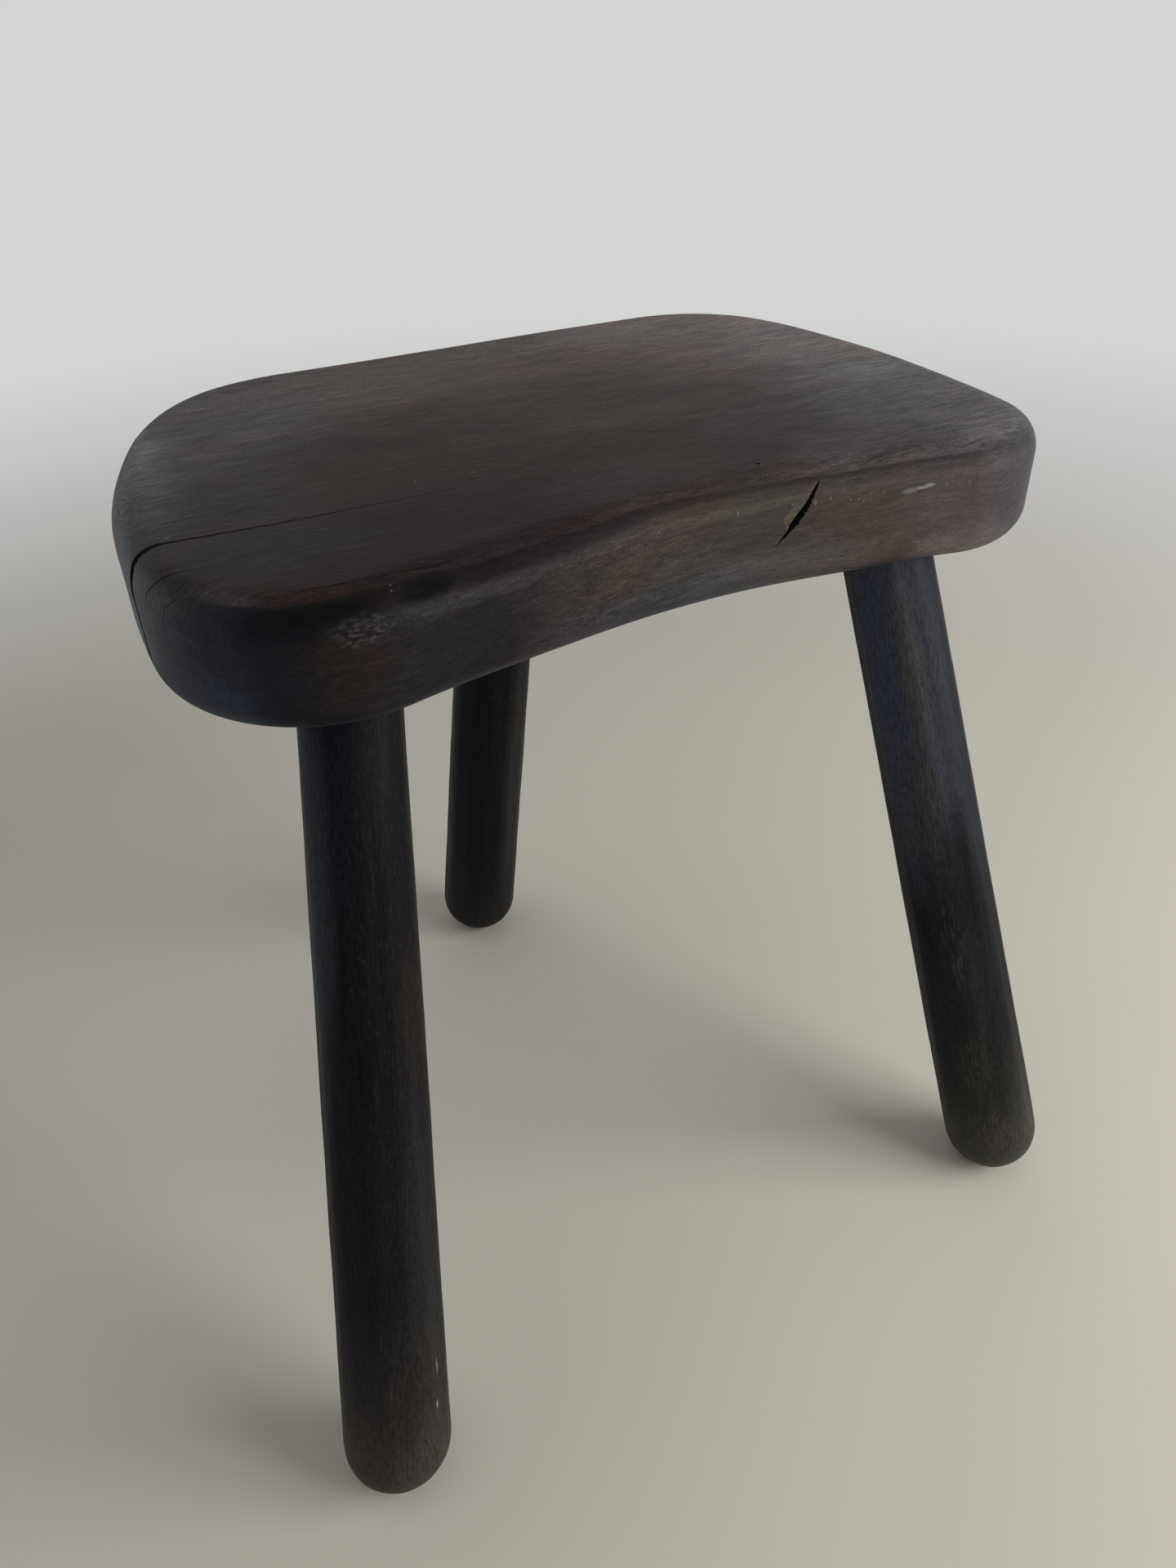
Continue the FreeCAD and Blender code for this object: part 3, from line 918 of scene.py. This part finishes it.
def leg_tree():
    """Sweeps a circle up the leg's line: a round foot, a steady taper, shaved flats, a flat worn sole."""
    tree = bpy.data.node_groups.new("shaved_leg", "GeometryNodeTree")
    for kind, labels in (
            ("NodeSocketVector", ("Foot Centre", "Axis", "First Flat")),
            ("NodeSocketFloat", ("Foot Radius", "Slope", "Length", "Unevenness", "Flat Depth", "Seed")),
            ("NodeSocketMaterial", ("Finish",))):
        for label in labels:
            tree.interface.new_socket(label, in_out="INPUT", socket_type=kind)
    tree.interface.new_socket("Leg", in_out="OUTPUT", socket_type="NodeSocketGeometry")
    given = flows(tree.nodes.new("NodeGroupInput"))

    def set_position(shape, **moves):
        return put(tree, "GeometryNodeSetPosition", {"Geometry": shape, **moves})

    radius = given["Foot Radius"]
    slope = given["Slope"]
    axis = given["Axis"]
    pole = given["Foot Centre"] - axis * radius
    whole = given["Length"] + radius
    line = put(tree, "GeometryNodeCurvePrimitiveLine", {"Start": pole, "End": pole + axis * whole})
    rings = put(tree, "GeometryNodeResampleCurve", {"Curve": line, "Count": leg_rings})
    share = put(tree, "GeometryNodeSplineParameter", {}, "Factor")
    run = whole * (share * share)
    past_centre = run - radius
    ball = calc("SQRT", calc("MAXIMUM", 0.0, radius * radius - past_centre * past_centre))
    shaft = (radius - past_centre * calc("SINE", slope)) / calc("COSINE", slope)
    on_shaft = calc("GREATER_THAN", past_centre, radius * calc("SINE", slope))
    reach = ball * (1.0 - on_shaft) + shaft * on_shaft
    kept = tree.nodes.new("GeometryNodeCaptureAttribute")
    kept.capture_items.new("FLOAT", "Run")
    kept.capture_items.new("FLOAT", "Reach")
    for label, value in (("Geometry", rings), ("Run", run), ("Reach", reach)):
        fill(kept.inputs[label], value)
    ring = flows(kept)
    ring_centre = pole + axis * ring["Run"]
    spaced = set_position(ring["Geometry"], Position=ring_centre)
    hoop = put(tree, "GeometryNodeCurvePrimitiveCircle", {"Resolution": leg_sides, "Radius": 1.0})
    sweep = put(tree, "GeometryNodeCurveToMesh", {
        "Curve": spaced, "Scale": ring["Reach"], "Profile Curve": hoop, "Fill Caps": True})
    closed = put(tree, "GeometryNodeMergeByDistance", {"Geometry": sweep, "Distance": 0.00001})

    position = put(tree, "GeometryNodeInputPosition", {})
    outward = position - ring_centre
    flat_reach = ring["Reach"] * (1.0 - given["Flat Depth"] * ease(ring["Run"], 0.004, 0.055))
    for flat in range(facet_count):
        sway = calc("SINE", ring["Run"] * facet_sway + (given["Seed"] + facet_stagger * flat))
        angle = sway * facet_wobble + 2.0 * math.pi * flat / facet_count
        turned = put(tree, "ShaderNodeVectorRotate", {
            "Vector": given["First Flat"], "Axis": axis, "Angle": angle}, rotation_type="AXIS_ANGLE")
        beyond = calc("MAXIMUM", 0.0, calc("DOT_PRODUCT", outward, turned) - flat_reach)
        outward = outward - turned * beyond
    shaved = set_position(closed, Position=ring_centre + outward)

    wave = cloud(position * (75.0, 75.0, 14.0) + given["Seed"], 1.0, 2.0, 0.5) - 0.75
    hollows = calc("MINIMUM", wave, 0.0) * given["Unevenness"]
    uneven = set_position(shaved, Offset=put(tree, "GeometryNodeInputNormal", {}) * hollows)
    x, y, height = parts(position)
    floored = put(tree, "ShaderNodeCombineXYZ", {0: x, 1: y, 2: calc("MAXIMUM", height, 0.0)})
    soled = set_position(uneven, Position=floored)
    real = put(tree, "GeometryNodeRealizeInstances", {"Geometry": soled})
    painted = put(tree, "GeometryNodeSetMaterial", {"Geometry": real, "Material": given["Finish"]})
    fill(tree.nodes.new("NodeGroupOutput").inputs["Leg"], painted)
    return tree


leg_grain = (0.045, 0.0016, 0.0045, (0.0, 0.006, -0.030))
leg_black = (0.0036, 0.0039, 0.0044)
leg_brown = (0.0105, 0.0092, 0.0080)
leg_dust = (0.0300, 0.0285, 0.0270)
flecked_brown = (0.0850, 0.0740, 0.0640)
scratched_white = (0.5500, 0.5200, 0.4800)
foot_brown = {
    "front_left": (0.0550, 0.0465, 0.0395),
    "front_right": (0.0560, 0.0530, 0.0440),
    "rear": (0.0165, 0.0145, 0.0120),
}

# Smooth changes of the stain, with painted light among them: bluish grey sides as painted reflection, near
# black upper sides as painted shade and a pale streak as painted highlight. A place on the leg's skin,
# reach along and across, colour and strength.
leg_stain_and_light = {
    "front_left": (
        ((-0.1225, -0.0840, 0.2880), 0.066, 0.0135, (0.0058, 0.0070, 0.0125), 0.85),
        ((-0.1345, -0.0790, 0.2640), 0.130, 0.0145, (0.0310, 0.0380, 0.0500), 0.90),
        ((-0.1030, -0.0920, 0.2650), 0.085, 0.011, (0.0026, 0.0024, 0.0024), 0.80),
        ((-0.1085, -0.0850, 0.2900), 0.040, 0.006, (0.0170, 0.0168, 0.0172), 0.40),
        ((-0.1130, -0.1060, 0.2050), 0.036, 0.008, (0.0210, 0.0118, 0.0095), 0.60),
        ((-0.1430, -0.1420, 0.1000), 0.120, 0.036, (0.0095, 0.0090, 0.0080), 0.75),
        ((-0.1285, -0.1340, 0.1150), 0.090, 0.012, (0.0165, 0.0160, 0.0148), 0.75),
    ),
    "front_right": (
        ((0.1240, -0.0860, 0.2600), 0.130, 0.022, (0.0120, 0.0142, 0.0215), 0.90),
        ((0.0955, -0.0830, 0.2600), 0.124, 0.030, (0.0390, 0.0450, 0.0590), 0.95),
        ((0.0945, -0.0750, 0.2600), 0.116, 0.011, (0.0460, 0.0580, 0.0860), 0.90),
        ((0.1036, -0.0830, 0.2660), 0.050, 0.006, (0.0470, 0.0435, 0.0410), 0.50),
        ((0.1092, -0.0965, 0.2080), 0.036, 0.009, (0.0420, 0.0385, 0.0370), 0.50),
        ((0.1270, -0.1250, 0.1050), 0.075, 0.020, (0.0165, 0.0163, 0.0138), 0.80),
    ),
    "rear": (
        ((-0.0240, 0.0970, 0.1400), 0.140, 0.018, (0.0024, 0.0031, 0.0030), 0.85),
        ((0.0040, 0.0920, 0.1300), 0.140, 0.013, (0.0190, 0.0178, 0.0152), 0.70),
    ),
}

# White scratches, and stain rubbed through in flecks along the ridges, in the same order of values.
leg_scratches = {
    "front_left": (
        ((-0.1345, -0.1473, 0.0623), 0.0060, 0.0010, scratched_white, 0.8),
        ((-0.1381, -0.1527, 0.0470), 0.0032, 0.0009, scratched_white, 0.7),
    ),
}
leg_flecks = {
    "front_left": (
        ((-0.1450, -0.1420, 0.0700), 0.0500, 0.0160, flecked_brown, 0.15),
    ),
    "front_right": (
        ((0.1036, -0.0830, 0.2660), 0.0480, 0.0060, flecked_brown, 0.55),
        ((0.1092, -0.0965, 0.2080), 0.0360, 0.0095, flecked_brown, 0.55),
        ((0.1213, -0.1156, 0.1415), 0.0360, 0.0070, flecked_brown, 0.45),
        ((0.1315, -0.1334, 0.0734), 0.0260, 0.0090, flecked_brown, 0.45),
        ((0.1415, -0.1461, 0.0374), 0.0160, 0.0110, flecked_brown, 0.50),
        ((0.1400, -0.1560, 0.0180), 0.0120, 0.0120, flecked_brown, 0.60),
    ),
}


def leg_finish(name, foot, axis):
    """Black stain with the grain up the leg, dulled and rubbed brown in places, bare on the foot, with
    painted reflection, shade and highlight in its tones.
    """
    finish, shader, place = open_finish("black_leg_wood_" + name, leg_black)
    turned = axis.rotation_difference(Vector((1, 0, 0))).to_euler()
    turn = turned.to_matrix()
    leg_wise = put(place.tree, "ShaderNodeMapping", {
        "Vector": place, "Rotation": turned, "Location": -(turn @ foot)})

    def marked(colour, marks, speckle, raggedness, within=None):
        spots = [(turn @ (Vector(centre) - foot), (along, across, across), mark_colour, strength)
                 for centre, along, across, mark_colour, strength in marks]
        return spotted(colour, leg_wise, spots, speckle, raggedness, within)

    grain = use_group(wood_fibre, leg_wise, *leg_grain)
    broad = cloud(leg_wise * (12.0, 70.0, 70.0), 1.0, 3.0, 0.5)
    fine = cloud(leg_wise * (260.0, 1300.0, 1300.0), 1.0, 3.0, 0.65)
    colour = tint(ease(grain["Streak"] * 0.7 + broad * 0.4, 0.42, 0.80), leg_black, leg_brown)
    # Tones up the leg: painted reflection, painted shade and a painted highlight among changes of the
    # stain.
    colour = marked(colour, leg_stain_and_light[name], 70.0, 0.5)
    worn = parts(leg_wise)[0] + (broad - 0.5) * 0.04
    faded_brown = [0.65 * channel for channel in foot_brown[name]]
    colour = tint(ease(worn, 0.085, 0.0) * 0.8, colour, faded_brown)
    colour = tint(ease(worn, 0.032, -0.012), colour, foot_brown[name])
    colour = shaded(colour, ease(fine, 0.30, 0.70) * 0.76 + 0.62)
    colour = tint(ease(fine, 0.58, 0.72) * 0.60, colour, leg_dust)
    colour = tint(grain["Pore"] * 0.5, colour, pore_black)
    fleck = ease(cloud(leg_wise * (150.0, 1000.0, 1000.0), 1.0, 4.0, 0.65), 0.46, 0.64)
    colour = marked(colour, leg_scratches.get(name, ()), 420.0, 1.0)
    colour = marked(colour, leg_flecks.get(name, ()), 420.0, 1.0, fleck)
    fill(shader["Base Color"], colour)
    fill(shader["Roughness"], broad * 0.14 + 0.48)
    wax(shader, 0.09, 0.02, (0.80, 0.90, 1.0))
    raise_grain(shader, grain["Relief"] + fine * 0.5, 0.0002, 0.5)
    return finish


# The slit sawn in each leg's hidden end for its wedge, a hair wider than the wedge all over.
wedge_length = 0.0200
wedge_head = 0.0045
wedge_tip = 0.0012
wedge_clearance = 0.0001
slit_overrun = 0.001


def slit_cutter(name):
    foot, axis, _, end, _ = leg_line(name)
    spread = (Vector((1, 0, 0)) - axis * axis.x).normalized()
    half_span = axis.cross(spread) * foot_radius
    top = foot + axis * (end - socket_end_gap)
    head = top + axis * slit_overrun
    tip = top - axis * (wedge_length + wedge_clearance)
    half_head = spread * (wedge_head / 2.0 + wedge_clearance)
    half_tip = spread * (wedge_tip / 2.0 + wedge_clearance)
    outline = (head - half_head, head + half_head, tip + half_tip, tip - half_tip)
    verts = [corner - half_span for corner in outline] + [corner + half_span for corner in outline]
    return new_piece("wedge_slit_" + name, verts, lofted(2, 4), crack_shade_finish)


shaved_leg = leg_tree()
leg_seeds = {"front_left": 1.7, "front_right": 5.2, "rear": 9.4}
ridge_bearing = {"front_left": -73.0, "front_right": -127.0, "rear": -80.0}
for leg_name in leg_lean:
    foot_centre, leg_axis, _, to_end, leg_slope = leg_line(leg_name)
    bearing = math.radians(ridge_bearing[leg_name] + 180.0 / facet_count)
    first_flat = Vector((math.cos(bearing), math.sin(bearing), 0.0))
    leg = new_piece("shaved_leg_" + leg_name, [], [])
    growing = leg.modifiers.new("shaved_leg", "NODES")
    growing.node_group = shaved_leg
    values = {
        "Foot Centre": foot_centre,
        "Axis": leg_axis,
        "Foot Radius": foot_radius,
        "Slope": leg_slope,
        "Length": to_end - socket_end_gap,
        "Unevenness": leg_unevenness,
        "First Flat": (first_flat - leg_axis * first_flat.dot(leg_axis)).normalized(),
        "Flat Depth": facet_depth,
        "Seed": leg_seeds[leg_name],
        "Finish": leg_finish(leg_name, foot_centre, leg_axis),
    }
    for socket in shaved_leg.interface.items_tree:
        if socket.in_out == "INPUT":
            growing[socket.identifier] = values[socket.name]
    finished_mesh(leg)
    cut_out(leg, [slit_cutter(leg_name)])
    leg.data.shade_smooth()
    leg.data.set_sharp_from_angle(angle=leg_crease)
    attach(leg, "root")
    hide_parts("leg_" + leg_name)

# Fox wedges
# Three slips of hard bare wood, out of sight inside the seat, split with a knife and left unstained.
# Each spreads its leg's end as the socket's floor drives it home, so the legs cannot pull out.
wedge_grain = (0.012, 0.0008, 0.002, (0.0, 0.05, 0.05))
wedge_shadow = (0.20, 0.11, 0.055)
wedge_bright = (0.42, 0.27, 0.14)
wedge_finish, wedge_shader, wedge_place = open_finish("bare_wedge_wood", (0.36, 0.22, 0.11))
wedge_upright = put(wedge_place.tree, "ShaderNodeMapping", {
    "Vector": wedge_place, "Rotation": (0.0, math.pi / 2.0, 0.0)})
wedge_fibre = use_group(wood_fibre, wedge_upright, *wedge_grain)
fill(wedge_shader["Base Color"], tint(ease(wedge_fibre["Streak"], 0.3, 0.8), wedge_shadow, wedge_bright))
fill(wedge_shader["Roughness"], wedge_fibre["Streak"] * 0.2 + 0.55)
raise_grain(wedge_shader, wedge_fibre["Relief"], 0.0002, 0.5)
for wedge_name in leg_lean:
    wedge = frame["nodes"]["fox_wedge_" + wedge_name]
    wedge.data.materials.clear()
    wedge.data.materials.append(wedge_finish)

# Floor and light
# A plain pale floor, one broad soft light from the right, and a pale surround that is
# brighter behind the stool than in front of it.
floor_reach = 30.0
floor_level = -0.0002
floor_finish, floor_shader, floor_place = open_finish("pale_floor", (0.60, 0.58, 0.54))
floor_nodes = floor_place.tree
floor_near = tint(cloud(floor_place, 3.0, 3.0, 0.5), (0.62, 0.585, 0.51), (0.66, 0.625, 0.55))
floor_away = ease(calc("LENGTH", floor_place), 0.45, 1.6)
fill(floor_shader["Base Color"], tint(floor_away, floor_near, (0.80, 0.80, 0.79)))
fill(floor_shader["Roughness"], 0.9)
floor_rays = flows(floor_nodes.nodes.new("ShaderNodeLightPath"))
floor_seen = calc("MAXIMUM", floor_rays["Is Camera Ray"], floor_rays["Is Glossy Ray"])
floor_lit = Flow(floor_nodes.nodes["Principled BSDF"].outputs["BSDF"])
floor_glow = put(floor_nodes, "ShaderNodeEmission", {"Color": (0.66, 0.66, 0.65)})
floor_blend = put(floor_nodes, "ShaderNodeMixShader", {
    0: floor_away * floor_seen, 1: floor_lit, 2: floor_glow})
fill(floor_nodes.nodes["Material Output"].inputs["Surface"], floor_blend)
floor_corners = [(x * floor_reach, y * floor_reach, floor_level)
                 for x, y in ((-1, -1), (1, -1), (1, 1), (-1, 1))]
floor = new_piece("pale_floor", floor_corners, [(0, 1, 2, 3)], floor_finish)

window_light = bpy.data.lights.new("window_light", "AREA")
window_light.shape = "RECTANGLE"
window_light.size = 0.9
window_light.size_y = 0.8
window_light.energy = 14.0
window_light.color = (1.0, 0.985, 0.96)
window_lamp = bpy.data.objects.new("window_light", window_light)
window_place = Vector((0.85, -0.80, 0.65))
window_aim = Vector((0.0, 0.0, 0.15)) - window_place
window_lamp.rotation_euler = window_aim.to_track_quat("-Z", "Y").to_euler()
window_lamp.location = window_place
bpy.context.scene.collection.objects.link(window_lamp)

surround = bpy.data.worlds.new("pale_surround")
surround.use_nodes = True
bpy.context.scene.world = surround
sky = surround.node_tree
sky.nodes.clear()
looking = put(sky, "ShaderNodeTexCoord", {}, "Generated")
behind = calc("DOT_PRODUCT", looking, Vector((-0.12, 0.99, 0.0)).normalized())
room = tint(ease(behind, -0.75, 0.35), (0.13, 0.135, 0.15), (0.50, 0.50, 0.50))
room_light = put(sky, "ShaderNodeBackground", {"Color": room})
plain_view = put(sky, "ShaderNodeBackground", {"Color": (0.72, 0.72, 0.70)})
seen = put(sky, "ShaderNodeLightPath", {}, "Is Camera Ray")
shown = put(sky, "ShaderNodeMixShader", {0: seen, 1: room_light, 2: plain_view})
fill(sky.nodes.new("ShaderNodeOutputWorld").inputs["Surface"], shown)
bpy.context.scene.view_settings.view_transform = "Standard"

# Camera
# Where the photograph was taken from: above the seat's front left corner, looking down across it.
camera_place = Vector((-0.17225, -0.3805, 0.4992))
camera_ahead = Vector((0.33774807, 0.73330534, -0.59007586))
camera_right = Vector((0.90030149, -0.43456372, -0.02473039))
camera_up = camera_right.cross(camera_ahead)
focal_length_pixels = 1430.0
image_height_pixels = 1920.0
camera_data = bpy.data.cameras.new("camera")
camera_data.sensor_fit = "VERTICAL"
camera_data.sensor_height = 36.0
camera_data.lens = focal_length_pixels / image_height_pixels * camera_data.sensor_height
camera_data.clip_start = 0.01
camera_data.clip_end = 100.0
camera = bpy.data.objects.new("camera", camera_data)
facing_matrix = Matrix((camera_right, camera_up, -camera_ahead)).transposed()
camera.matrix_world = Matrix.Translation(camera_place) @ facing_matrix.to_4x4()
bpy.context.scene.collection.objects.link(camera)
bpy.context.scene.camera = camera
